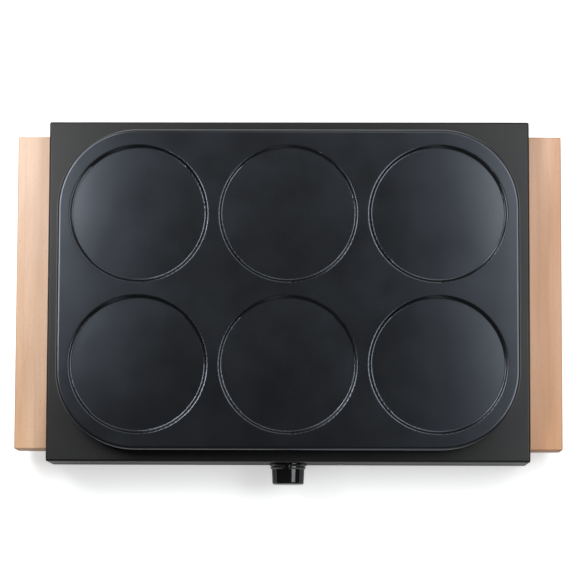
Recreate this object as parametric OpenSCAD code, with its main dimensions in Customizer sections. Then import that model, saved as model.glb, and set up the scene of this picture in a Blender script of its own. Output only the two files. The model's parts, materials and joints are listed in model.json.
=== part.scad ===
// Electric crepe maker: a folded sheet-steel housing with a raised cast cooking plate
// that has six shallow round recesses, two wooden side handles and a round front knob.
// The plate drops over four posts, above a bent tubular heating element.

/* [Housing] */
// Width of the housing between its side walls
body_w = 414; // [412:1:424]
// Depth of the housing from front wall to back wall
body_d = 294; // [292:1:304]
// Height of the housing walls
body_h = 52; // [50:1:58]
// Thickness of the housing sheet
sheet_t = 1; // [0.8:0.1:1.2]
// Outer radius of the folded edges
bend_r = 2; // [1.5:0.1:2.5]
// Height of the upturned collar around the well
collar_h = 8; // [6:0.5:9]

/* [Cooking plate] */
// Width of the plate over its skirt
plate_w = 396; // [394:1:400]
// Depth of the plate over its skirt
plate_d = 275; // [273:1:279]
// Corner radius of the plate
plate_corner_r = 68; // [66:1:70]
// Height of the plate's face above the housing's top panel
plate_rise = 17; // [16:1:20]
// Thickness of the casting between face and underside
plate_t = 7; // [6:0.5:8]
// Fillet along the plate's upper edge
plate_edge_r = 3; // [2:0.5:3]
// Thickness of the skirt that hangs outside the collar
skirt_t = 4; // [3:0.5:5]
// Gap between the skirt and the top panel
skirt_gap = 1.5; // [1:0.5:3]

/* [Recesses] */
// Radius of a recess at the plate's face
recess_r = 60; // [56:1:60]
// Radius of the wall's lip and foot, which sets a recess's depth
recess_wall_r = 2; // [1.6:0.1:2.2]
// Rise of the floor from the foot of its wall to its centre
recess_crown = 1; // [0:0.25:1.5]
// Distance between recess centres along the width
recess_pitch_x = 128; // [126:1:129]
// Distance between the two rows of recesses
recess_pitch_y = 129.5; // [127:0.5:131]

/* [Handles] */
// Width of a side handle, out from the wall
handle_w = 28.5; // [24:0.5:32]
// Length of a side handle, front to back
handle_len = 272; // [250:1:280]
// Height of a side handle
handle_h = 30; // [24:1:34]
// Distance from the top panel down to a handle's top
handle_drop = 12; // [8:1:14]
// Radius that eases the handles' edges
handle_ease = 1.5; // [1:0.5:3]

/* [Knob] */
// Radius of the control knob's grip at its back
knob_r = 14; // [14:0.5:15]
// Radius of the control knob at its front
knob_front_r = 13.5; // [13:0.5:14]
// Distance from the front wall to the knob's front
knob_reach = 18; // [16:1:22]
// Height of the knob's axis above the table
knob_z = 37; // [36:1:38]
// Radius of the bezel behind the knob
bezel_r = 16; // [15.5:0.5:17]

/* [Feet] */
// Height of the rubber feet
foot_h = 11; // [10:1:14]
// Radius of a foot where it meets the base
foot_r = 12; // [10:1:14]
// Distance between left and right feet
foot_span_x = 360; // [340:5:360]
// Distance between front and back feet
foot_span_y = 240; // [220:5:240]

/* [Heating] */
// Radius of the element's metal sheath
element_r = 4; // [3.5:0.25:4]
// Distance from the element's axis down from the plate's underside
element_drop = 5.5; // [5:0.25:6]
// Distance between neighbouring runs of the element
run_pitch = 43; // [42:0.5:44]
// Thickness of the reflector tray's sheet
tray_t = 0.8; // [0.6:0.1:1]

/* [Hidden] */
$fn = 64;

// Radius of an inner corner that would otherwise be sharp
least_r = 0.5;

// Heights above the table
panel_z = foot_h + body_h;
panel_under_z = panel_z - sheet_t;
plate_top_z = panel_z + plate_rise;
plate_under_z = plate_top_z - plate_t;
skirt_z = panel_z + skirt_gap;
tray_z = panel_z - 16;
tray_top_z = tray_z + tray_t;
element_z = plate_under_z - element_drop;
rib_h = 4;
rib_z = plate_under_z - rib_h;

// Recess section: a lip and a foot of one radius meet where the wall is steepest
wall_sin = 0.936;
wall_cos = 0.352;
lip_centre = [recess_r, -recess_wall_r];
foot_centre = lip_centre + 2 * recess_wall_r * [-wall_sin, wall_cos];
wall_middle = (lip_centre + foot_centre) / 2;
wall_foot = foot_centre - [0, recess_wall_r];
crown_steps = 8;

// Outlines, seen from above
plate_corner = [plate_w / 2 - plate_corner_r, plate_d / 2 - plate_corner_r];
skirt_play = 5;
collar_w = plate_w - 2 * (skirt_t + skirt_play);
collar_d = plate_d - 2 * (skirt_t + skirt_play);
collar_r = plate_corner_r - skirt_t - skirt_play;
tray_wall_w = collar_w - 2 * sheet_t - 2;
tray_wall_d = collar_d - 2 * sheet_t - 2;
tray_wall_r = collar_r - sheet_t - 1;
tray_flange = 9;

// Base: the pan lies under an inward return of the walls
pan_t = 0.8;
return_w = 10;
return_z = foot_h + pan_t;
screw_edge = 6;
base_screw_r = 1.45;
base_screw_len = 5;
base_head_r = 3.2;
base_head_h = 1.6;
base_screw_spots = [
    for (sx = [-1, 1], y = [-80, 0, 80]) [sx * (body_w / 2 - screw_edge), y],
    for (x = [-100, 100], sy = [-1, 1]) [x, sy * (body_d / 2 - screw_edge)]
];
foot_bore_r = 2.1;
foot_recess_r = 5;
foot_recess_h = 5;
foot_nut_h = 3.2;
foot_screw_r = 2;
foot_head_r = 4;
foot_head_h = 2.4;
nut_r = 4.04;

// Handles and their screws
handle_z = panel_z - handle_drop - handle_h;
handle_screw_z = handle_z + handle_h / 2;
handle_screw_y = [-100, 0, 100];
handle_screw_r = 2.2;
handle_screw_len = 18;
handle_head_r = 4.2;
handle_head_h = 2.4;

// Element: six runs joined by equal bends, seen from above
bend = run_pitch / 2;
outer_bend_x = 140;
outer_x = outer_bend_x + bend;
inner_x = 40 - bend;
front_run_y = -5 * bend;
terminal_x = 15;
terminal_bend = 12;
terminal_end_z = tray_z - 9;
bush_h = 4;
collar_t = 3;
tray_hole_r = 4.5;
blade_t = 0.8;
blade_w = 6.3;
blade_len = 9;
element_half = concat(
    [[terminal_x, front_run_y, element_z]],
    [for (turn = [0:4], side = [-5, -3])
        [turn % 2 == 0 ? outer_x : inner_x, (2 * turn + side) * bend, element_z]],
    [[0, -front_run_y, element_z]]);
element_bends = [for (i = [1:10]) bend];
support_spots = [for (sx = [-1, 1], i = [-5:2:5]) [sx * 85, i * bend]];
support_len = 10;
saddle_t = 1.2;
saddle_foot = [12, 1];

// Posts that carry the plate
post_spots = [for (sx = [-1, 1], sy = [-1, 1]) [sx * outer_bend_x, sy * 4 * bend]];
post_r = 4;
post_pin_r = 2.5;
post_pin_h = 2.5;
socket_play = 0.3;
socket_h = 3;

// Sensor between the inner bends
bulb_r = 3;
bulb_len = 60;
bulb_z = plate_under_z - bulb_r - 0.6;
capillary_r = 0.8;
capillary_drop_y = -62;
capillary_low_z = knob_z - 1;

// Thermostat behind the front wall, measured from the wall's outer face
bracket_t = 1.2;
bracket_size = [50, 30];
bracket_corner_r = 3;
case_front = -sheet_t - bracket_t;
case_size = [38, 22, 30];
case_centre_z = 35;
shaft_r = 2.95;
shaft_bore_r = 3;
shaft_hole_r = 5;
shaft_flat = 2;
shaft_in = -14;
shaft_out = 13;
mount_screw_x = 10;
mount_screw_r = 1.95;
mount_head_r = 3.5;
mount_head_h = 2.2;
bezel_t = 2.4;
bezel_edge_r = 1.4;
knob_back = 3;
knob_skirt = 1.2;
knob_skirt_t = 1;
knob_edge_r = 1.5;
knob_wall = 2.2;
knob_hollow_end = 12;
hub_r = 5.2;
hub_play = 0.02;
pointer = [1.2, 7, 0.6];
case_back_y = -body_d / 2 - case_front + case_size[2];
blade_x = 6;
blade_z = 30;
blade_end_y = case_back_y + 8;

// Pilot lamp to the right of the knob
pilot_x = 45;
pilot_r = 3;
pilot_proud = 0.3;
pilot_depth = 6;
pilot_lamp_len = 10;
pilot_lamp_r = 2;

// Appliance inlet in the back wall
inlet_x = 120;
inlet_z = 32;
inlet_proud = 2;
inlet_body = [27, 20, 24];
inlet_flange = [31, 24];
inlet_mouth = [24, 16.5];
inlet_chamfer = 5;
inlet_depth = 17;
inlet_latch = [2.6, 8, 5.9];
inlet_latch_z = -4;
pin_size = [2, 4];
pin_spots = [[-7, -2], [7, -2], [0, 2]];
pin_back_y = body_d / 2 - 32;
live_x = inlet_x + pin_spots[0][0];
neutral_x = inlet_x + pin_spots[1][0];
lead_r = 1.2;
lead_bend = 4;
fuse_r = 2;
fuse_len = 10;
fuse_y = 50;
earth_x = 90;
earth_z = inlet_z + pin_spots[2][1];
earth_len = 12;

// Ventilation
vent_w = 4;
wall_vents = [for (i = [0:9]) -150 + 12 * i];
wall_vent_z = 34;
wall_vent_len = 22;
pan_vents = [for (sx = [-1, 1], i = [-3:3]) sx * 90 + 14 * i];
pan_vent_len = 60;

// The base's outline is centred between knob and inlet
body_y = (knob_reach - inlet_proud) / 2;

// ---------------------------------------------------------------- helpers

function unit(a, b) = (b - a) / norm(b - a);

// Places children on a frame with the given origin and axes
module frame_at(o, x, y, z)
    multmatrix([[x[0], y[0], z[0], o[0]], [x[1], y[1], z[1], o[1]], [x[2], y[2], z[2], o[2]]])
        children();

// Moves children from the housing's own centre to their place on the table
module placed() translate([0, body_y, 0]) children();

// Turns children so that their z axis leaves the front wall
module on_front(x = 0, z = knob_z) translate([x, -body_d / 2, z]) rotate([90, 0, 0]) children();

module rounded_rect(w, d, r) {
    square([w - 2 * r, d], center = true);
    square([w, d - 2 * r], center = true);
    for (sx = [-1, 1], sy = [-1, 1]) translate([sx * (w / 2 - r), sy * (d / 2 - r)]) circle(r);
}

module rounded_ring(w, d, r, t) difference() {
    rounded_rect(w, d, r);
    rounded_rect(w - 2 * t, d - 2 * t, max(r - t, least_r));
}

// Slot of the given length over all, along y
module slot(w, len) {
    square([w, len - w], center = true);
    for (sy = [-1, 1]) translate([0, sy * (len - w) / 2]) circle(w / 2);
}

// Quarter of a disc, in the corner between +x and +y
module quarter(r) intersection() {
    circle(r);
    square(2 * r);
}

// Box with folded top edges and folded corners, open to the bottom at z = 0
module folded_box(w, d, h, r) intersection() {
    linear_extrude(h) rounded_rect(w, d, r);
    translate([0, d / 2, 0]) rotate([90, 0, 0]) linear_extrude(d) rounded_rect(w, 2 * h, r);
    translate([-w / 2, 0, 0]) rotate([90, 0, 90]) linear_extrude(w) rounded_rect(d, 2 * h, r);
}

// Block with all its edges eased
module eased_block(w, d, h, r) intersection() {
    linear_extrude(h) rounded_rect(w, d, r);
    translate([0, d / 2, h / 2]) rotate([90, 0, 0]) linear_extrude(d) rounded_rect(w, h, r);
    translate([-w / 2, 0, h / 2]) rotate([90, 0, 90]) linear_extrude(w) rounded_rect(d, h, r);
}

// Sweeps a profile around a rounded rectangle: x is the distance from the corner's centre
module swept_edge(corner) {
    for (i = [0:3]) {
        sx = i == 0 || i == 3 ? 1 : -1;
        sy = i < 2 ? 1 : -1;
        translate([sx * corner[0], sy * corner[1], 0]) rotate(90 * i)
            rotate_extrude(angle = 90) children();
        run = i % 2 == 0 ? corner[0] : corner[1];
        reach = i % 2 == 0 ? corner[1] : corner[0];
        rotate(90 * i) translate([-run, reach, 0]) rotate([90, 0, 90])
            linear_extrude(2 * run) children();
    }
}

// Round tube through points that are joined by axis-parallel runs
module tube_path(pts, bends, r) {
    last = len(pts) - 1;
    for (i = [0:last - 1]) {
        u = unit(pts[i], pts[i + 1]);
        side = [u[1], u[2], u[0]];
        from = i == 0 ? 0 : bends[i - 1];
        run = norm(pts[i + 1] - pts[i]) - from - (i == last - 1 ? 0 : bends[i]);
        if (run > 0.01) frame_at(pts[i] + from * u, side, cross(u, side), u) cylinder(r = r, h = run);
    }
    if (last > 1) for (i = [1:last - 1]) {
        u = unit(pts[i - 1], pts[i]);
        v = unit(pts[i], pts[i + 1]);
        frame_at(pts[i] + bends[i - 1] * (v - u), -v, u, cross(-v, u))
            rotate_extrude(angle = 90) translate([bends[i - 1], 0]) circle(r);
    }
}

// Flat band of width w along the same kind of path, seen from above
module band_path(pts, bends, w) {
    last = len(pts) - 1;
    for (i = [0:last - 1]) {
        u = unit(pts[i], pts[i + 1]);
        from = i == 0 ? 0 : bends[i - 1];
        run = norm(pts[i + 1] - pts[i]) - from - (i == last - 1 ? 0 : bends[i]);
        start = pts[i] + from * u;
        if (run > 0.01) translate([start[0], start[1]]) rotate(atan2(u[1], u[0]))
            translate([0, -w / 2]) square([run, w]);
    }
    for (i = [1:last - 1]) {
        u = unit(pts[i - 1], pts[i]);
        v = unit(pts[i], pts[i + 1]);
        centre = pts[i] + bends[i - 1] * (v - u);
        first = cross(-v, u)[2] > 0 ? -v : u;
        translate([centre[0], centre[1]]) rotate(atan2(first[1], first[0])) intersection() {
            difference() {
                circle(bends[i - 1] + w / 2);
                circle(bends[i - 1] - w / 2);
            }
            square(2 * (bends[i - 1] + w));
        }
    }
}

// ---------------------------------------------------------------- housing

module front_wall_holes() on_front() {
    translate([0, 0, -2]) cylinder(r = shaft_hole_r, h = 4);
    for (sx = [-1, 1]) translate([sx * mount_screw_x, 0, -2])
        cylinder(r = mount_screw_r + 0.15, h = 4);
    translate([pilot_x, 0, -2]) cylinder(r = pilot_r + 0.05, h = 4);
}

module back_wall_holes() translate([0, body_d / 2 + 2, 0]) rotate([90, 0, 0]) {
    translate([inlet_x, inlet_z, 0]) linear_extrude(4)
        square([inlet_body[0], inlet_body[1]], center = true);
    for (x = wall_vents) translate([x, wall_vent_z, 0]) linear_extrude(4) slot(vent_w, wall_vent_len);
}

module housing_shell() color("#1c1d20") difference() {
    union() {
        difference() {
            translate([0, 0, foot_h]) folded_box(body_w, body_d, body_h, bend_r);
            translate([0, 0, foot_h - 1])
                folded_box(body_w - 2 * sheet_t, body_d - 2 * sheet_t, body_h - sheet_t + 1,
                    bend_r - sheet_t);
        }
        translate([0, 0, panel_under_z]) linear_extrude(sheet_t + collar_h)
            rounded_rect(collar_w, collar_d, collar_r);
        translate([0, 0, return_z]) linear_extrude(sheet_t)
            rounded_ring(body_w - sheet_t, body_d - sheet_t, bend_r - sheet_t / 2, return_w);
    }
    translate([0, 0, panel_under_z - 1]) linear_extrude(collar_h + 3)
        rounded_rect(collar_w - 2 * sheet_t, collar_d - 2 * sheet_t, collar_r - sheet_t);
    front_wall_holes();
    back_wall_holes();
    for (y = handle_screw_y) translate([-body_w, y, handle_screw_z]) rotate([0, 90, 0])
        cylinder(r = handle_screw_r, h = 2 * body_w);
    for (p = base_screw_spots) translate([p[0], p[1], foot_h]) cylinder(r = base_screw_r + 0.05, h = 4);
}

module base_pan() color("#3a3c3f") difference() {
    translate([0, 0, foot_h]) linear_extrude(pan_t)
        rounded_rect(body_w - 2 * sheet_t - 0.4, body_d - 2 * sheet_t - 0.4, 1);
    for (p = base_screw_spots) translate([p[0], p[1], foot_h - 1])
        cylinder(r = base_screw_r + 0.05, h = 3);
    for (sx = [-1, 1], sy = [-1, 1]) translate([sx * foot_span_x / 2, sy * foot_span_y / 2, foot_h - 1])
        cylinder(r = foot_bore_r, h = 3);
    for (x = pan_vents) translate([x, 0, foot_h - 1]) linear_extrude(3) slot(vent_w, pan_vent_len);
}

module base_screws() color("#8d8f92") for (p = base_screw_spots) translate([p[0], p[1], 0]) {
    translate([0, 0, foot_h - base_head_h]) cylinder(r = base_head_r, h = base_head_h);
    translate([0, 0, foot_h]) cylinder(r = base_screw_r, h = base_screw_len);
}

module foot(sx, sy) color("#151515") translate([sx * foot_span_x / 2, sy * foot_span_y / 2, 0])
    difference() {
        cylinder(r1 = foot_r - 1.5, r2 = foot_r, h = foot_h);
        translate([0, 0, -1]) cylinder(r = foot_recess_r, h = foot_recess_h + 1);
        cylinder(r = foot_bore_r, h = foot_h + 1);
    }

module foot_screws() color("#8d8f92") for (sx = [-1, 1], sy = [-1, 1])
    translate([sx * foot_span_x / 2, sy * foot_span_y / 2, 0]) {
        translate([0, 0, foot_recess_h - foot_head_h]) cylinder(r = foot_head_r, h = foot_head_h);
        translate([0, 0, foot_recess_h]) cylinder(r = foot_screw_r, h = foot_h + pan_t + foot_nut_h - 4);
    }

module foot_nuts() color("#8d8f92") for (sx = [-1, 1], sy = [-1, 1])
    translate([sx * foot_span_x / 2, sy * foot_span_y / 2, foot_h + pan_t]) difference() {
        cylinder(r = nut_r, h = foot_nut_h, $fn = 6);
        translate([0, 0, -1]) cylinder(r = foot_screw_r, h = foot_nut_h + 2);
    }

// ---------------------------------------------------------------- handles

module handle(side) color("#d9b98c") translate([side * (body_w + handle_w) / 2, 0, handle_z])
    difference() {
        eased_block(handle_w, handle_len, handle_h, handle_ease);
        for (y = handle_screw_y) translate([-side * handle_w, y, handle_h / 2])
            rotate([0, side * 90, 0]) cylinder(r = handle_screw_r, h = handle_w / 2 + handle_screw_len);
    }

module handle_screws() color("#8d8f92") for (sx = [-1, 1], y = handle_screw_y)
    translate([sx * (body_w / 2 - sheet_t), y, handle_screw_z]) rotate([0, sx * 90, 0]) {
        translate([0, 0, -handle_head_h]) cylinder(r = handle_head_r, h = handle_head_h);
        cylinder(r = handle_screw_r, h = handle_screw_len);
    }

// ---------------------------------------------------------------- reflector and element

module reflector_tray() color("#b9bcbf") difference() {
    union() {
        translate([0, 0, tray_z]) linear_extrude(tray_t)
            rounded_rect(tray_wall_w, tray_wall_d, tray_wall_r);
        translate([0, 0, tray_z]) linear_extrude(panel_under_z - tray_z)
            rounded_ring(tray_wall_w, tray_wall_d, tray_wall_r, tray_t);
        translate([0, 0, panel_under_z - tray_t]) linear_extrude(tray_t)
            rounded_ring(tray_wall_w + 2 * tray_flange, tray_wall_d + 2 * tray_flange,
                tray_wall_r + tray_flange, tray_flange + tray_t / 2);
    }
    for (p = post_spots) translate([p[0], p[1], tray_z - 1]) cylinder(r = post_pin_r, h = 3);
    for (sx = [-1, 1]) translate([sx * terminal_x, front_run_y, tray_z - 1])
        cylinder(r = tray_hole_r, h = 3);
    translate([0, capillary_drop_y, tray_z - 1]) cylinder(r = 2.5, h = 3);
}

// A post is riveted through the tray and carries the plate on its shoulder
module plate_posts() color("#a7aaad") for (p = post_spots) translate([p[0], p[1], 0]) {
    translate([0, 0, tray_z - 1.5]) cylinder(r = post_r, h = 1.5);
    translate([0, 0, tray_z]) cylinder(r = post_pin_r, h = tray_t);
    translate([0, 0, tray_top_z]) cylinder(r = post_r, h = rib_z - tray_top_z);
    translate([0, 0, rib_z]) cylinder(r = post_pin_r, h = post_pin_h);
}

module element_side() tube_path(
    concat([[terminal_x, front_run_y, terminal_end_z]], element_half),
    concat([terminal_bend], element_bends), element_r);

module heating_element() color("#6b6660") {
    element_side();
    mirror([1, 0, 0]) element_side();
}

// Saddle under a tube that runs along x, with its stem and foot on the tray
module saddle(r, axis_z) rotate([90, 0, 90]) linear_extrude(support_len, center = true) {
    translate([0, axis_z]) difference() {
        circle(r + saddle_t);
        circle(r);
        translate([0, 10]) square(20, center = true);
    }
    translate([-saddle_t / 2, tray_top_z]) square([saddle_t, axis_z - r - saddle_t / 2 - tray_top_z]);
    translate([-saddle_foot[0] / 2, tray_top_z]) square(saddle_foot);
}

module element_supports() color("#c9c4b8")
    for (p = support_spots) translate([p[0], p[1], 0]) saddle(element_r, element_z);

module element_collars() color("#c9c4b8") for (sx = [-1, 1])
    translate([sx * terminal_x, front_run_y, tray_top_z]) difference() {
        cylinder(r = element_r + 3, h = collar_t);
        translate([0, 0, -1]) cylinder(r = element_r, h = 5);
    }

module terminal_bushes() color("#efe9dc") for (sx = [-1, 1])
    translate([sx * terminal_x, front_run_y, terminal_end_z - bush_h])
        cylinder(r1 = 3, r2 = 3.7, h = bush_h);

module terminal_tabs() color("#c8c8c4") for (sx = [-1, 1])
    translate([sx * terminal_x, front_run_y, terminal_end_z - bush_h - blade_len / 2])
        cube([blade_t, blade_w, blade_len], center = true);

// ---------------------------------------------------------------- thermostat

module sensor_bulb() color("#b87333")
    translate([0, bulb_len / 2, bulb_z]) rotate([90, 0, 0]) cylinder(r = bulb_r, h = bulb_len);

module sensor_clips() color("#c9c4b8") for (sy = [-1, 1])
    translate([0, sy * 18, 0]) rotate(90) saddle(bulb_r, bulb_z);

module capillary_tube() color("#b87333") tube_path(
    [[0, -bulb_len / 2, bulb_z], [0, capillary_drop_y, bulb_z],
        [0, capillary_drop_y, capillary_low_z], [0, case_back_y, capillary_low_z]],
    [5, 5], capillary_r);

module thermostat_case() color("#d8d2c0") difference() {
    translate([0, -body_d / 2 - case_front + case_size[2] / 2, case_centre_z])
        cube([case_size[0], case_size[2], case_size[1]], center = true);
    on_front() {
        translate([0, 0, shaft_in - 1]) cylinder(r = shaft_bore_r, h = 20);
        for (sx = [-1, 1]) translate([sx * mount_screw_x, 0, case_front - 8])
            cylinder(r = mount_screw_r, h = 10);
    }
}

module thermostat_bracket() color("#b9bcbf") on_front() difference() {
    translate([0, case_centre_z - knob_z, case_front]) linear_extrude(bracket_t)
        rounded_rect(bracket_size[0], bracket_size[1], bracket_corner_r);
    translate([0, 0, -4]) cylinder(r = shaft_hole_r, h = 4);
    for (sx = [-1, 1]) translate([sx * mount_screw_x, 0, -4]) cylinder(r = mount_screw_r, h = 4);
}

module thermostat_blades() color("#c8c8c4") for (sx = [-1, 1])
    translate([sx * blade_x, (case_back_y + blade_end_y) / 2, blade_z])
        cube([blade_w, blade_end_y - case_back_y, blade_t], center = true);

module thermostat_screws() color("#8d8f92") on_front()
    for (sx = [-1, 1]) translate([sx * mount_screw_x, 0, 0]) {
        cylinder(r = mount_head_r, h = mount_head_h);
        translate([0, 0, case_front - 7]) cylinder(r = mount_screw_r, h = 7 - case_front);
    }

module knob_bezel() color("#17181a") on_front() difference() {
    rotate_extrude() {
        square([bezel_r - bezel_edge_r, bezel_t]);
        square([bezel_r, bezel_t - bezel_edge_r]);
        translate([bezel_r - bezel_edge_r, bezel_t - bezel_edge_r]) quarter(bezel_edge_r);
    }
    translate([0, 0, -1]) cylinder(r = 6, h = bezel_t + 2);
    for (sx = [-1, 1]) translate([sx * mount_screw_x, 0, -1])
        cylinder(r = mount_head_r + 0.3, h = bezel_t + 2);
}

// Shaft section with its flat, as long as the knob's hub needs it
module shaft_section(r) difference() {
    circle(r);
    translate([-r, shaft_flat + r - shaft_r]) square(2 * r);
}

module thermostat_shaft() color("#c4c6c8") on_front() {
    translate([0, 0, shaft_in]) cylinder(r = shaft_r, h = knob_back + 1 - shaft_in);
    translate([0, 0, knob_back + 1]) linear_extrude(shaft_out - knob_back - 1) shaft_section(shaft_r);
}

module control_knob() color("#0e0f10") on_front() difference() {
    rotate_extrude() {
        polygon([[0, knob_back], [knob_r + knob_skirt, knob_back],
            [knob_r + knob_skirt, knob_back + knob_skirt_t],
            [knob_r, knob_back + knob_skirt_t + knob_skirt],
            [knob_front_r, knob_reach - knob_edge_r],
            [knob_front_r - knob_edge_r, knob_reach], [0, knob_reach]]);
        translate([knob_front_r - knob_edge_r, knob_reach - knob_edge_r]) quarter(knob_edge_r);
    }
    translate([0, 0, knob_back - 1]) difference() {
        cylinder(r = knob_front_r - knob_wall, h = knob_hollow_end - knob_back + 1);
        cylinder(r = hub_r, h = knob_hollow_end);
    }
    translate([0, 0, knob_back - 1]) cylinder(r = shaft_r + hub_play, h = 2);
    translate([0, 0, knob_back + 1]) linear_extrude(shaft_out - knob_back - 1)
        shaft_section(shaft_r + hub_play);
    translate([0, 0, knob_reach - pointer[2]]) pointer_bar();
}

module pointer_bar() translate([-pointer[0] / 2, knob_front_r - knob_edge_r - pointer[1], 0])
    cube([pointer[0], pointer[1], pointer[2]]);

module knob_pointer() color("#f2f2f0") on_front()
    translate([0, 0, knob_reach - pointer[2]]) pointer_bar();

module pilot_lens() color("#c22b1e") on_front(pilot_x) {
    cylinder(r1 = pilot_r + 0.6, r2 = pilot_r + 0.3, h = pilot_proud);
    translate([0, 0, -pilot_depth]) cylinder(r = pilot_r, h = pilot_depth);
}

module pilot_lamp() color("#e8dcc8") on_front(pilot_x)
    translate([0, 0, -pilot_depth - pilot_lamp_len]) cylinder(r = pilot_lamp_r, h = pilot_lamp_len);

// ---------------------------------------------------------------- supply

// Outline of the inlet's mouth, its two upper corners cut off
module mouth_outline() {
    w = inlet_mouth[0] / 2;
    h = inlet_mouth[1] / 2;
    polygon([[-w, -h], [w, -h], [w, h - inlet_chamfer], [w - inlet_chamfer, h],
        [-w + inlet_chamfer, h], [-w, h - inlet_chamfer]]);
}

// Looking at the back wall from outside: z leaves the wall, x runs to the housing's right
module on_inlet() translate([inlet_x, body_d / 2, inlet_z]) rotate([90, 0, 0]) mirror([0, 0, 1])
    children();

module power_inlet() color("#141414") on_inlet() difference() {
    union() {
        linear_extrude(inlet_proud) rounded_rect(inlet_flange[0], inlet_flange[1], 2);
        translate([0, 0, -inlet_body[2]]) linear_extrude(inlet_body[2])
            square([inlet_body[0], inlet_body[1]], center = true);
        for (sx = [-1, 1]) translate([sx * (inlet_body[0] / 2 - 0.5), 0, inlet_latch_z])
            cube(inlet_latch, center = true);
    }
    translate([0, 0, inlet_proud - inlet_depth]) linear_extrude(inlet_depth + 1) mouth_outline();
    for (p = pin_spots) translate([p[0], p[1], -inlet_body[2] - 1]) linear_extrude(inlet_body[2])
        square(pin_size, center = true);
}

module inlet_pins() color("#c8c8c4") for (p = pin_spots)
    translate([inlet_x + p[0], (pin_back_y + body_d / 2) / 2, inlet_z + p[1]])
        cube([pin_size[0], body_d / 2 - pin_back_y, pin_size[1]], center = true);

module thermal_fuse() color("#d0ccbf")
    translate([live_x, fuse_y + fuse_len / 2, blade_z]) rotate([90, 0, 0])
        cylinder(r = fuse_r, h = fuse_len);

// Strap that hangs the fuse under the tray
module fuse_clip() color("#b9bcbf") translate([live_x, fuse_y + 3, 0]) rotate([90, 0, 0])
    linear_extrude(6) {
        translate([0, blade_z]) difference() {
            circle(fuse_r + 1);
            circle(fuse_r);
        }
        translate([-0.6, blade_z + fuse_r + 0.5]) square([1.2, tray_z - blade_z - fuse_r - 0.5]);
        translate([-5, tray_z - 1]) square([10, 1]);
    }

module lead_live_in() color("#7a4a2a")
    tube_path([[live_x, pin_back_y, blade_z], [live_x, fuse_y + fuse_len / 2, blade_z]], [], lead_r);

module lead_live_out() color("#7a4a2a") tube_path(
    [[live_x, fuse_y - fuse_len / 2, blade_z], [live_x, -84, blade_z],
        [blade_x, -84, blade_z], [blade_x, blade_end_y, blade_z]],
    [lead_bend, lead_bend], lead_r);

module lead_neutral() color("#2f5fae") tube_path(
    [[neutral_x, pin_back_y, blade_z], [neutral_x, front_run_y, blade_z],
        [terminal_x + blade_t / 2, front_run_y, blade_z]],
    [lead_bend], lead_r);

module lead_load() color("#3a3a3a") tube_path(
    [[-blade_x, blade_end_y, blade_z], [-blade_x, -84, blade_z],
        [-terminal_x, -84, blade_z], [-terminal_x, front_run_y + blade_w / 2, blade_z]],
    [lead_bend, lead_bend], lead_r);

module lead_earth() color("#7fae2f") tube_path(
    [[inlet_x, pin_back_y, earth_z], [inlet_x, 105, earth_z], [earth_x, 105, earth_z],
        [earth_x, body_d / 2 - sheet_t - earth_len, earth_z]],
    [lead_bend, lead_bend], lead_r);

module earth_stud() color("#b8a15a")
    translate([earth_x, body_d / 2 - sheet_t, earth_z]) rotate([90, 0, 0]) {
        cylinder(r = 2, h = earth_len);
        cylinder(r = 4, h = 3.2, $fn = 6);
    }

// ---------------------------------------------------------------- cooking plate

// Height of the crowned floor at radius r: a flat arc over the whole floor
function floor_z(r) = wall_foot[1] + recess_crown * (1 - pow(r / wall_foot[0], 2));

module recess_section() difference() {
    union() {
        polygon(concat([[0, 1]],
            [for (i = [0:crown_steps]) [wall_foot[0] * i / crown_steps,
                floor_z(wall_foot[0] * i / crown_steps)]],
            [wall_middle, [recess_r, 0], [recess_r, 1]]));
        intersection() {
            translate(foot_centre) circle(recess_wall_r);
            polygon([wall_foot, wall_foot - [0, 1], [recess_r, wall_foot[1] - 1], wall_middle]);
        }
    }
    intersection() {
        translate(lip_centre) circle(recess_wall_r);
        polygon([wall_middle, wall_middle + [-1, 2], [recess_r, 1], [recess_r, 0]]);
    }
}

module recess_cutter() rotate_extrude($fn = 96) recess_section();

// Section of the plate's rim: filleted upper edge and the skirt below it
module rim_section() {
    core_r = plate_corner_r - skirt_t - 4;
    edge_in = plate_corner_r - plate_edge_r;
    translate([core_r, plate_under_z]) square([edge_in - core_r, plate_t]);
    translate([edge_in, plate_under_z]) square([plate_edge_r, plate_t - plate_edge_r]);
    translate([edge_in, plate_top_z - plate_edge_r]) quarter(plate_edge_r);
    translate([plate_corner_r - skirt_t, skirt_z]) square([skirt_t, plate_under_z - skirt_z]);
}

module plate_underside() {
    translate([0, 0, rib_z]) linear_extrude(rib_h + 1) for (sx = [0, 1]) mirror([sx, 0]) difference() {
        band_path(element_half, element_bends, 18);
        band_path(element_half, element_bends, 2 * element_r + 1.6);
    }
    for (p = post_spots) translate([p[0], p[1], rib_z]) cylinder(r = 7, h = rib_h + 1);
}

module cooking_plate() color("#232427") difference() {
    union() {
        translate([0, 0, plate_under_z]) linear_extrude(plate_t)
            rounded_rect(plate_w - 2 * (skirt_t + 4), plate_d - 2 * (skirt_t + 4),
                plate_corner_r - skirt_t - 4);
        swept_edge(plate_corner) rim_section();
        plate_underside();
    }
    for (ix = [-1:1], iy = [-0.5, 0.5])
        translate([ix * recess_pitch_x, iy * recess_pitch_y, plate_top_z]) recess_cutter();
    for (p = post_spots) translate([p[0], p[1], rib_z - 1])
        cylinder(r = post_pin_r + socket_play, h = socket_h + 1);
}

// ---------------------------------------------------------------- assembly

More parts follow.
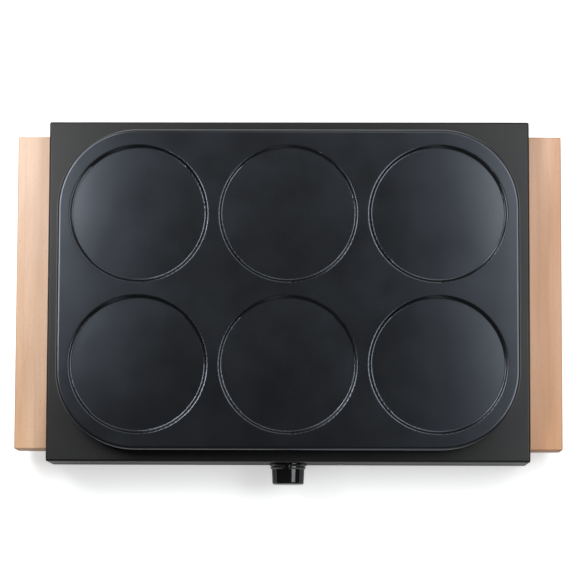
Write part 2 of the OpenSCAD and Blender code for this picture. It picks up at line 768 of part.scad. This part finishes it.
placed() {
    housing_shell();
    base_pan();
    base_screws();
    foot(-1, -1);  // foot_front_left
    foot(1, -1);  // foot_front_right
    foot(-1, 1);  // foot_back_left
    foot(1, 1);  // foot_back_right
    foot_screws();
    foot_nuts();
    handle(-1);  // handle_left
    handle(1);  // handle_right
    handle_screws();
    reflector_tray();
    plate_posts();
    heating_element();
    element_supports();
    element_collars();
    terminal_bushes();
    terminal_tabs();
    sensor_bulb();
    sensor_clips();
    capillary_tube();
    thermostat_case();
    thermostat_bracket();
    thermostat_blades();
    thermostat_screws();
    knob_bezel();
    pilot_lens();
    pilot_lamp();
    power_inlet();
    inlet_pins();
    thermal_fuse();
    fuse_clip();
    lead_live_in();
    lead_live_out();
    lead_neutral();
    lead_load();
    lead_earth();
    earth_stud();
    cooking_plate();
    control_knob();
    thermostat_shaft();
    knob_pointer();
}
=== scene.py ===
"""Electric crepe maker: finishes, fine pieces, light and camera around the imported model."""
import json
import math

import bmesh
import bpy
from mathutils import Matrix, Vector

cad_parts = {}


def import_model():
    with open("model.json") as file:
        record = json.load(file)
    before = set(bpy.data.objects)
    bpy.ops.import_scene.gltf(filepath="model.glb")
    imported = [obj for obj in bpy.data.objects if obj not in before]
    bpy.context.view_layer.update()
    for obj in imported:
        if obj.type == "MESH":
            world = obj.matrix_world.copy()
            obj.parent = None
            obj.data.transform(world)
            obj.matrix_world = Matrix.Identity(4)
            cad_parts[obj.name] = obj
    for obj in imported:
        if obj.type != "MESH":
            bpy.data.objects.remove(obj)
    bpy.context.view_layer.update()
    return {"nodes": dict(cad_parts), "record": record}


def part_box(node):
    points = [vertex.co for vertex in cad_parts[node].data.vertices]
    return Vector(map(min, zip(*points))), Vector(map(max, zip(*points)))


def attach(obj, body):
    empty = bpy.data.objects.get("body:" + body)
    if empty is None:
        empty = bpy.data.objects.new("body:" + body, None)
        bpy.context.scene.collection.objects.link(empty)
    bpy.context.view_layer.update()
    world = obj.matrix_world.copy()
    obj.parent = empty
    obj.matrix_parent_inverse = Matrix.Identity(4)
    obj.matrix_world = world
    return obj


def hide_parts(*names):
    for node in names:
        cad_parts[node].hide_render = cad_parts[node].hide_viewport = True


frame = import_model()
nodes = frame["nodes"]

MM = 0.001
scene = bpy.context.scene

# ---------------------------------------------------------------- places, from the frame

shell_lo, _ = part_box("housing_shell")
plate_lo, plate_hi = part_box("cooking_plate")
knob_lo, knob_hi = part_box("control_knob")

FRONT_Y = shell_lo.y
PLATE_Y = (plate_lo.y + plate_hi.y) / 2
KNOB_Z = (knob_lo.z + knob_hi.z) / 2


# ---------------------------------------------------------------- helpers

def add_object(name, data):
    obj = bpy.data.objects.new(name, data)
    scene.collection.objects.link(obj)
    return obj


def mesh_of(obj):
    """New mesh of an object, with its modifiers or its text applied."""
    graph = bpy.context.evaluated_depsgraph_get()
    return bpy.data.meshes.new_from_object(obj.evaluated_get(graph))


def end_mesh(bm, name):
    """Turns a bmesh into a new mesh and frees it."""
    mesh = bpy.data.meshes.new(name)
    bm.to_mesh(mesh)
    bm.free()
    return mesh


# ---------------------------------------------------------------- camera

# Fitted to the recesses, edges and handles of the photograph
CAMERA_PLACE = (0.0384, -0.2574, 2.26)
CAMERA_TURN_DEG = (5.621, 0.936, 0.23)
LENS_MM = 160.03
SENSOR_MM = 36
SHIFT_Y = 0.1
CLIP_END = 20


def camera():
    data = bpy.data.cameras.new("camera")
    data.sensor_width = SENSOR_MM
    data.lens = LENS_MM
    data.shift_y = SHIFT_Y
    data.clip_end = CLIP_END
    obj = add_object("camera", data)
    obj.location = CAMERA_PLACE
    obj.rotation_euler = [math.radians(turn) for turn in CAMERA_TURN_DEG]
    scene.camera = obj


# ---------------------------------------------------------------- materials

# A colour mix's sockets by number, because its sockets of other types share their names
MIX_A, MIX_B, MIX_RESULT = 6, 7, 2

# Most values of a noise lie between these
NOISE_LOW, NOISE_HIGH = 0.3, 0.7


class Shader:
    """A procedural material around one principled shader."""

    def __init__(self, name, color, rough, **sockets):
        self.material = bpy.data.materials.new(name)
        self.material.use_nodes = True
        self.tree = self.material.node_tree
        self.bsdf = self.tree.nodes["Principled BSDF"]
        self.set("Base Color", (*color, 1))
        self.set("Roughness", rough)
        for socket, value in sockets.items():
            self.set(socket.replace("_", " "), value)
        self.place = self.add("TexCoord").outputs["Object"]

    def give(self, socket, value):
        """Links another node's output to a socket, or sets a plain value on it."""
        if isinstance(value, bpy.types.NodeSocket):
            self.tree.links.new(value, socket)
        else:
            socket.default_value = value

    def set(self, socket, value):
        self.give(self.bsdf.inputs[socket], value)

    def add(self, kind, inputs=None, **props):
        node = self.tree.nodes.new("ShaderNode" + kind)
        for name, value in props.items():
            setattr(node, name, value)
        for name, value in (inputs or {}).items():
            self.give(node.inputs[name], value)
        return node

    def noise(self, scale, detail=2, rough=0.5, vector=None):
        """Noise whose scale is in features per metre."""
        node = self.add("TexNoise", {"Vector": vector or self.place, "Scale": scale,
                                     "Detail": detail, "Roughness": rough})
        return node.outputs["Fac"]

    def grain(self, scales, detail, rough):
        """Noise with features per metre of its own along each axis."""
        stretched = self.add("Mapping", {"Vector": self.place, "Scale": scales})
        return self.noise(1, detail, rough, stretched.outputs["Vector"])

    def axes(self):
        return self.add("SeparateXYZ", {"Vector": self.place}).outputs

    def remap(self, value, low, high, to_low=0.0, to_high=1.0):
        node = self.add("MapRange", {"Value": value, "From Min": low, "From Max": high,
                                     "To Min": to_low, "To Max": to_high})
        return node.outputs["Result"]

    def spread(self, noise, low, high):
        """A noise's usual values, spread from low to high."""
        return self.remap(noise, NOISE_LOW, NOISE_HIGH, low, high)

    def math(self, operation, a, b=0.0):
        return self.add("Math", {0: a, 1: b}, operation=operation).outputs[0]

    def mix(self, factor, a, b, blend="MIX"):
        """Mix of two colours, each a triple or another node's output."""
        node = self.add("Mix", {"Factor": factor}, data_type="RGBA", blend_type=blend)
        for index, color in ((MIX_A, a), (MIX_B, b)):
            self.give(node.inputs[index], (*color, 1) if isinstance(color, tuple) else color)
        return node.outputs[MIX_RESULT]

    def relief(self, height, depth, strength):
        """Bumps the surface by a height from 0 to 1, over a depth in metres."""
        node = self.add("Bump", {"Height": height, "Distance": depth, "Strength": strength})
        self.set("Normal", node.outputs["Normal"])


def satin_black():
    """Baked enamel: a fine orange peel, and a faint cloudiness in its sheen."""
    s = Shader("satin_black", (0.011, 0.011, 0.011), 0.42, Specular_IOR_Level=0.37)
    s.set("Roughness", s.spread(s.noise(18, detail=3), 0.38, 0.45))
    s.relief(s.noise(900), 0.06 * MM, 0.35)
    return s.material


# The recesses' walls: spacing of the recesses, the walls' middle radius, the half widths at
# which their smoothness starts to fade and has gone, and their roughness
RECESS_PITCH = (128 * MM, 129.5 * MM)
WALL_R = 58.1 * MM
WALL_HALF_W = (0.9 * MM, 1.6 * MM)
WALL_ROUGH = 0.26


def on_wall(s):
    """One on the steep walls of the six recesses, which wiping keeps smooth."""
    place = s.axes()
    across = s.math("ABSOLUTE", place["X"])
    across = s.math("MINIMUM", across, s.math("SUBTRACT", across, RECESS_PITCH[0]))
    along = s.math("ABSOLUTE", s.math("SUBTRACT", place["Y"], PLATE_Y))
    along = s.math("SUBTRACT", along, RECESS_PITCH[1] / 2)
    arm = s.add("CombineXYZ", {"X": across, "Y": along}).outputs["Vector"]
    reach = s.add("VectorMath", {0: arm}, operation="LENGTH").outputs["Value"]
    off = s.math("ABSOLUTE", s.math("SUBTRACT", reach, WALL_R))
    return s.remap(off, *WALL_HALF_W, 1, 0)


# Tones of the plate: its coating, the flecks in it and the blue of its sheen
PLATE_BLACK = (0.004, 0.004, 0.004)
PLATE_FLECK = (0.03, 0.032, 0.036)
PLATE_SHEEN = (0.72, 0.82, 1.0, 1.0)


def plate_coating():
    """Non-stick coating: slightly blue, with a fine sprayed texture and fine light flecks."""
    s = Shader("plate_coating", (0.0045, 0.0045, 0.0045), 0.31, Specular_IOR_Level=0.62,
               Specular_Tint=PLATE_SHEEN, Coat_Weight=0.5, Coat_Roughness=0.2)
    fleck = s.remap(s.noise(2600, detail=1), 0.66, 0.74)
    s.set("Base Color", s.mix(fleck, PLATE_BLACK, PLATE_FLECK))
    cloud = s.spread(s.noise(30, detail=3), 0.28, 0.345)
    rough = s.add("Mix", {"Factor": on_wall(s), "A": cloud, "B": WALL_ROUGH})
    s.set("Roughness", rough.outputs[0])
    s.relief(s.noise(1500, detail=3), 0.05 * MM, 0.1)
    return s.material


# Tones of the beech: pale wood, darker bands, rings, pores and the paler bend
WOOD_PALE = (0.78, 0.56, 0.43)
WOOD_BAND = (0.66, 0.42, 0.28)
WOOD_RING = (0.61, 0.38, 0.245)
WOOD_PORE = (0.4, 0.22, 0.12)
WOOD_BEND = (0.77, 0.54, 0.395)

# Its grain: features per metre across, along and across the boards
BAND_GRAIN = (75, 8, 75)
RING_GRAIN = (330, 7, 330)
PORE_GRAIN = (1700, 260, 1700)

# Its casts: a painted shade, warmer and darker, grows from the given span behind the middle to
# as far before it, where less of the lamps' sheen falls; the right board's starts between the
# two boards
PAINTED_FRONT_SHADE = (1.0, 0.9, 0.75)
PAINTED_SHADE_SPAN = 120 * MM
RIGHT_BOARD = (0.86, 0.74, 0.65)
BETWEEN_X = 10 * MM


def beech():
    """Straight-grained beech along Y, with ring bands, short flecks and fine pores.

    The two handles are cut from different boards, the right one browner. Both turn warmer and
    darker to the front: a painted shade, where less of the lamps' sheen falls than at the back.
    """
    s = Shader("beech", WOOD_BAND, 0.5)
    bend = s.noise(6)
    wide = s.grain(BAND_GRAIN, 3, 0.55)
    rings = s.grain(RING_GRAIN, 2, 0.5)
    flecks = s.remap(s.grain(PORE_GRAIN, 1, 0.4), 0.64, 0.74, 0, 0.32)
    tone = s.mix(s.remap(wide, 0.35, 0.68), WOOD_PALE, WOOD_BAND)
    tone = s.mix(s.remap(rings, 0.45, 0.75, 0, 0.4), tone, WOOD_RING)
    tone = s.mix(flecks, tone, WOOD_PORE)
    tone = s.mix(s.remap(bend, 0.35, 0.65, 0, 0.35), tone, WOOD_BEND)
    place = s.axes()
    # Painted shade: warmer and darker towards the front, where less sheen falls on the handles
    tone = s.mix(s.remap(place["Y"], PAINTED_SHADE_SPAN, -PAINTED_SHADE_SPAN), tone, PAINTED_FRONT_SHADE, "MULTIPLY")
    tone = s.mix(s.remap(place["X"], -BETWEEN_X, BETWEEN_X), tone, RIGHT_BOARD, "MULTIPLY")
    s.set("Base Color", tone)
    s.set("Roughness", s.spread(rings, 0.44, 0.56))
    height = s.math("SUBTRACT", s.math("MULTIPLY", rings, 0.5), flecks)
    s.relief(height, 0.12 * MM, 0.5)
    return s.material


def gloss_black():
    """Gloss moulding with the faintest flow ripple."""
    s = Shader("gloss_black", (0.006, 0.006, 0.007), 0.12)
    s.relief(s.noise(60), 0.2 * MM, 0.08)
    return s.material


def black_plastic():
    """Fine-grained moulding."""
    s = Shader("black_plastic", (0.012, 0.012, 0.012), 0.4)
    s.relief(s.noise(2200), 0.05 * MM, 0.4)
    return s.material


def black_rubber():
    """Matt rubber with a coarse grain."""
    s = Shader("black_rubber", (0.014, 0.014, 0.014), 0.75)
    s.relief(s.noise(1400, detail=3), 0.1 * MM, 0.5)
    return s.material


def zinc_steel():
    """Zinc plate whose tone and gloss change from grain to grain."""
    s = Shader("zinc_steel", (0.58, 0.59, 0.6), 0.34, Metallic=1.0)
    spangle = s.noise(700, detail=3)
    s.set("Base Color", s.mix(spangle, (0.5, 0.51, 0.53), (0.66, 0.66, 0.65)))
    s.set("Roughness", s.spread(spangle, 0.28, 0.42))
    return s.material


def bright_steel():
    """Aluminised sheet: rolled along X, a little clouded by heat."""
    s = Shader("bright_steel", (0.7, 0.71, 0.72), 0.3, Metallic=1.0)
    rolled = s.grain((12, 900, 900), 3, 0.6)
    cloud = s.remap(s.noise(14, detail=3), 0.35, 0.7, 0, 0.5)
    s.set("Base Color", s.mix(cloud, (0.72, 0.73, 0.74), (0.6, 0.57, 0.52)))
    s.set("Roughness", s.spread(rolled, 0.24, 0.4))
    s.relief(rolled, 0.02 * MM, 0.4)
    return s.material


def dark_sheath():
    """Element sheath: greenish-grey oxide, blotched where it has run hot."""
    s = Shader("dark_sheath", (0.12, 0.115, 0.105), 0.5, Metallic=0.7)
    blotch = s.noise(45, detail=4)
    s.set("Base Color", s.mix(blotch, (0.075, 0.072, 0.068), (0.19, 0.175, 0.15)))
    s.set("Roughness", s.spread(blotch, 0.4, 0.62))
    s.relief(s.noise(1100, detail=3), 0.06 * MM, 0.4)
    return s.material


def copper():
    """Copper with patches of tarnish."""
    s = Shader("copper", (0.72, 0.38, 0.24), 0.35, Metallic=1.0)
    s.set("Base Color", s.mix(s.noise(120, detail=3), (0.78, 0.42, 0.27), (0.5, 0.26, 0.17)))
    return s.material


def brass():
    """Turned brass, duller in patches."""
    s = Shader("brass", (0.65, 0.5, 0.24), 0.33, Metallic=1.0)
    s.set("Roughness", s.spread(s.noise(300, detail=3), 0.27, 0.42))
    return s.material


def ceramic():
    """Unglazed ivory ceramic."""
    s = Shader("ceramic", (0.76, 0.72, 0.63), 0.6)
    s.set("Base Color", s.mix(s.noise(400, detail=3), (0.8, 0.76, 0.68), (0.7, 0.65, 0.56)))
    s.relief(s.noise(1500), 0.05 * MM, 0.4)
    return s.material


def white_ink():
    """Screen-printed ink of uneven gloss."""
    s = Shader("white_ink", (0.82, 0.82, 0.82), 0.5)
    s.set("Roughness", s.spread(s.noise(900), 0.42, 0.58))
    return s.material


def red_lens():
    """Clear red moulding."""
    s = Shader("red_lens", (0.32, 0.014, 0.01), 0.12, Transmission_Weight=0.35, IOR=1.49)
    s.set("Roughness", s.spread(s.noise(500), 0.1, 0.16))
    return s.material


def sleeve(name, color):
    """Insulation of a lead."""
    s = Shader(name, color, 0.5)
    s.relief(s.noise(1800), 0.04 * MM, 0.3)
    return s.material


FINISHES = {
    "satin_black": satin_black(),
    "plate_coating": plate_coating(),
    "beech": beech(),
    "gloss_black": gloss_black(),
    "black_plastic": black_plastic(),
    "black_rubber": black_rubber(),
    "zinc_steel": zinc_steel(),
    "bright_steel": bright_steel(),
    "dark_sheath": dark_sheath(),
    "copper": copper(),
    "brass": brass(),
    "ceramic": ceramic(),
    "white_ink": white_ink(),
    "red_lens": red_lens(),
    "lead_brown": sleeve("lead_brown", (0.14, 0.05, 0.02)),
    "lead_blue": sleeve("lead_blue", (0.03, 0.1, 0.4)),
    "lead_black": sleeve("lead_black", (0.02, 0.02, 0.02)),
    "lead_green": sleeve("lead_green", (0.2, 0.4, 0.05)),
}


def dress_nodes():
    """Every CAD node gets the finish of its slot."""
    for part in frame["record"]["subparts"]:
        data = nodes[part["node"]].data
        data.materials.clear()
        data.materials.append(FINISHES[part["material_slot"]])


# ---------------------------------------------------------------- fine pieces

def piece(name, mesh, body, slot):
    """A finished piece that rides on one of the part's bodies."""
    obj = add_object(name, mesh)
    mesh.materials.append(FINISHES[slot])
    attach(obj, body)
    return obj


# The dial's print: seven marks from 0 to 6, with the middle of the ink's layer INK_OUT before
# the wall
DIAL_STEPS = 6
DIAL_STEP_DEG = 45
NUMERAL_R = 20.6 * MM
NUMERAL_SIZE = 4.2 * MM
TICK_R = (17.0 * MM, 18.0 * MM)
TICK_W = 0.5 * MM
INK_T = 0.06 * MM
INK_OUT = INK_T / 3


def numeral(text):
    """Mesh of one numeral, centred, in the XY plane."""
    curve = bpy.data.curves.new("numeral", "FONT")
    curve.body = text
    curve.size = NUMERAL_SIZE
    curve.align_x = "CENTER"
    curve.align_y = "CENTER"
    curve.extrude = INK_T / 2
    obj = add_object("numeral", curve)
    mesh = mesh_of(obj)
    bpy.data.objects.remove(obj)
    return mesh


def dial_scale():
    """Ticks and plain numerals printed on the front wall, clockwise from zero at the top."""
    bm = bmesh.new()
    front_wall = (Matrix.Translation((0, FRONT_Y - INK_OUT, KNOB_Z))
                  @ Matrix.Rotation(math.radians(90), 4, "X"))
    tick_size = Matrix.Diagonal((TICK_W, TICK_R[1] - TICK_R[0], INK_T, 1))
    for step in range(DIAL_STEPS + 1):
        turn = math.radians(DIAL_STEP_DEG * step)
        out = Vector((math.sin(turn), math.cos(turn), 0))
        label = numeral(str(step))
        label.transform(front_wall @ Matrix.Translation(out * NUMERAL_R))
        bm.from_mesh(label)
        bpy.data.meshes.remove(label)
        middle = out * (sum(TICK_R) / 2)
        bmesh.ops.create_cube(bm, size=1, matrix=(
            front_wall @ Matrix.Translation(middle) @ Matrix.Rotation(-turn, 4, "Z") @ tick_size))
    piece("dial_scale", end_mesh(bm, "dial_scale"), "base", "white_ink")


# Screw head: radius and height along its dome, then its cross, as shares of the head's own
HEAD_PROFILE = [(0, 1), (0.4, 0.97), (0.7, 0.84), (0.9, 0.6), (1, 0.3), (1, 0)]
HEAD_STEPS = 32
CROSS_W, CROSS_LEN, CROSS_DEPTH = 0.26, 1.1, 0.6

# Each screw is turned this much further than the last, in radians
SCREW_TURN = 1.9

# Corners this close are one
NODE_WELD = 0.01 * MM
HEAD_WELD = 0.001 * MM

BASE_SCREW = {"head_h": 1.6 * MM, "shank_r": 1.45 * MM}
FOOT_SCREW = {"head_h": 2.4 * MM, "shank_r": 2 * MM}


def islands(name):
    """Lowest and highest corner of each loose solid of a CAD node."""
    bm = bmesh.new()
    bm.from_mesh(nodes[name].data)
    bmesh.ops.remove_doubles(bm, verts=bm.verts, dist=NODE_WELD)
    bm.transform(nodes[name].matrix_world)
    left, found = set(bm.verts), []
    while left:
        group, edge = set(), [left.pop()]
        while edge:
            vert = edge.pop()
            group.add(vert)
            for near in (link.other_vert(vert) for link in vert.link_edges):
                if near in left:
                    left.discard(near)
                    edge.append(near)
        found.append([Vector(pick(vert.co[axis] for vert in group) for axis in range(3))
                      for pick in (min, max)])
    bm.free()
    return found


def cross_head(head_r, head_h, shank_r, shank_len):
    """Screw with a domed head and a cross recess; its bearing face is at z = 0, the head below."""
    bm = bmesh.new()
    profile = [(r * head_r, -z * head_h) for r, z in HEAD_PROFILE]
    profile += [(shank_r, 0), (shank_r, shank_len), (0, shank_len)]
    verts = [bm.verts.new((r, 0, z)) for r, z in profile]
    edges = [bm.edges.new(pair) for pair in zip(verts, verts[1:])]
    bmesh.ops.spin(bm, geom=verts + edges, axis=(0, 0, 1), cent=(0, 0, 0), steps=HEAD_STEPS,
                   angle=math.tau, use_merge=False)
    bmesh.ops.remove_doubles(bm, verts=bm.verts, dist=HEAD_WELD)
    bmesh.ops.recalc_face_normals(bm, faces=bm.faces)
    obj = add_object("cross_head", end_mesh(bm, "cross_head"))
    cutters = []
    for across, along in ((CROSS_LEN, CROSS_W), (CROSS_W, CROSS_LEN)):
        bm = bmesh.new()
        size = (across * head_r, along * head_r, 2 * CROSS_DEPTH * head_h, 1)
        bmesh.ops.create_cube(bm, size=1, matrix=(
            Matrix.Translation((0, 0, -head_h)) @ Matrix.Diagonal(size)))
        cutter = add_object("cutter", end_mesh(bm, "cutter"))
        obj.modifiers.new("cut", "BOOLEAN").object = cutter
        cutters.append(cutter)
    result = mesh_of(obj)
    for used in (obj, *cutters):
        bpy.data.objects.remove(used)
    return result


def screws(name, head_h, shank_r):
    """Replaces the plain screws of a node, heads down, by ones with a cross recess."""
    bm = bmesh.new()
    for index, (low, high) in enumerate(islands(name)):
        head_r = (high.x - low.x) / 2
        screw = cross_head(head_r, head_h, shank_r, high.z - low.z - head_h)
        middle = (low + high) / 2
        screw.transform(Matrix.Translation((middle.x, middle.y, low.z + head_h))
                        @ Matrix.Rotation(SCREW_TURN * index, 4, "Z"))
        bm.from_mesh(screw)
        bpy.data.meshes.remove(screw)
    obj = piece(name + "_fine", end_mesh(bm, name + "_fine"), "base", "zinc_steel")
    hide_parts(name)


# ---------------------------------------------------------------- stage

# Floor: how bright it is where it is seen, the share of that in glossy reflections, and the
# reach and depth of the shade where the object stands close to it
FLOOR_SIZE = 12.0
FLOOR_WHITE = (0.9, 0.9, 0.9)
FLOOR_ROUGH = 0.9
FLOOR_GLOW = 0.85
GLOSSY_SHARE = 0.3
SHADE_REACH = 0.05
SHADE_DEPTH = 0.7


def floor():
    """White floor that keeps the shadow: its glow is for what is seen, mirrored or seen through."""
    mesh = bpy.data.meshes.new("floor")
    half = FLOOR_SIZE / 2
    mesh.from_pydata([(-half, -half, 0), (half, -half, 0), (half, half, 0), (-half, half, 0)],
                     [], [(0, 1, 2, 3)])
    s = Shader("floor", FLOOR_WHITE, FLOOR_ROUGH, Specular_IOR_Level=0.0)
    path = s.add("LightPath").outputs
    glossy = s.math("MULTIPLY", path["Is Glossy Ray"], GLOSSY_SHARE)
    through = s.math("MAXIMUM", path["Is Transmission Ray"], glossy)
    seen = s.math("MAXIMUM", path["Is Camera Ray"], through)
    open_air = s.add("AmbientOcclusion", {"Distance": SHADE_REACH}).outputs["AO"]
    glow = s.remap(open_air, 0, 1, FLOOR_GLOW * (1 - SHADE_DEPTH), FLOOR_GLOW)
    s.set("Emission Color", (1, 1, 1, 1))
    s.set("Emission Strength", s.math("MULTIPLY", seen, glow))
    mesh.materials.append(s.material)
    obj = add_object("floor", mesh)


# Lamps, all turned to LAMP_AIM: place, the two sides in metres, watts and colour
LAMP_AIM = Vector((0, 0, 0.07))
LAMPS = {
    "soft_left": ((-0.38, 0.13, 0.5), (0.3, 0.18), 1.95, (0.97, 0.985, 1.0)),
    "soft_right": ((0.385, 0.06, 0.53), (0.52, 0.3), 2.45, (0.95, 0.975, 1.0)),
    "key_back_left": ((-0.55, 0.75, 0.8), (0.5, 0.5), 4.1, (1.0, 0.99, 0.98)),
    "fill_back": ((0.25, 0.62, 0.8), (0.6, 0.5), 1.6, (1.0, 1.0, 1.0)),
    "fill_front": ((0.2, -1.1, 0.3), (0.3, 1.0), 0.6, (1.0, 1.0, 1.0)),
}


def lights():
    for name, (place, sides, watts, color) in LAMPS.items():
        data = bpy.data.lights.new(name, "AREA")
        data.shape = "RECTANGLE"
        data.size, data.size_y = sides
        data.energy = watts
        data.color = color
        obj = add_object(name, data)
        obj.location = place
        obj.rotation_euler = (Vector(place) - LAMP_AIM).to_track_quat("Z", "Y").to_euler()
        obj.visible_camera = False


WORLD_LIGHT = 0.05


def world():
    """White where it is seen or seen through, and a faint even light for all else."""
    studio = bpy.data.worlds.new("studio")
    studio.use_nodes = True
    tree = studio.node_tree
    path = tree.nodes.new("ShaderNodeLightPath")
    seen = tree.nodes.new("ShaderNodeMath")
    seen.operation = "MAXIMUM"
    tree.links.new(path.outputs["Is Camera Ray"], seen.inputs[0])
    tree.links.new(path.outputs["Is Transmission Ray"], seen.inputs[1])
    strength = tree.nodes.new("ShaderNodeMath")
    strength.operation = "MAXIMUM"
    strength.inputs[1].default_value = WORLD_LIGHT
    tree.links.new(seen.outputs[0], strength.inputs[0])
    background = tree.nodes["Background"]
    background.inputs["Color"].default_value = (1, 1, 1, 1)
    tree.links.new(strength.outputs[0], background.inputs["Strength"])
    scene.world = studio


# ---------------------------------------------------------------- assembly

dress_nodes()
dial_scale()
screws("base_screws", **BASE_SCREW)
screws("foot_screws", **FOOT_SCREW)
floor()
lights()
world()
camera()
scene.view_settings.view_transform = "Standard"
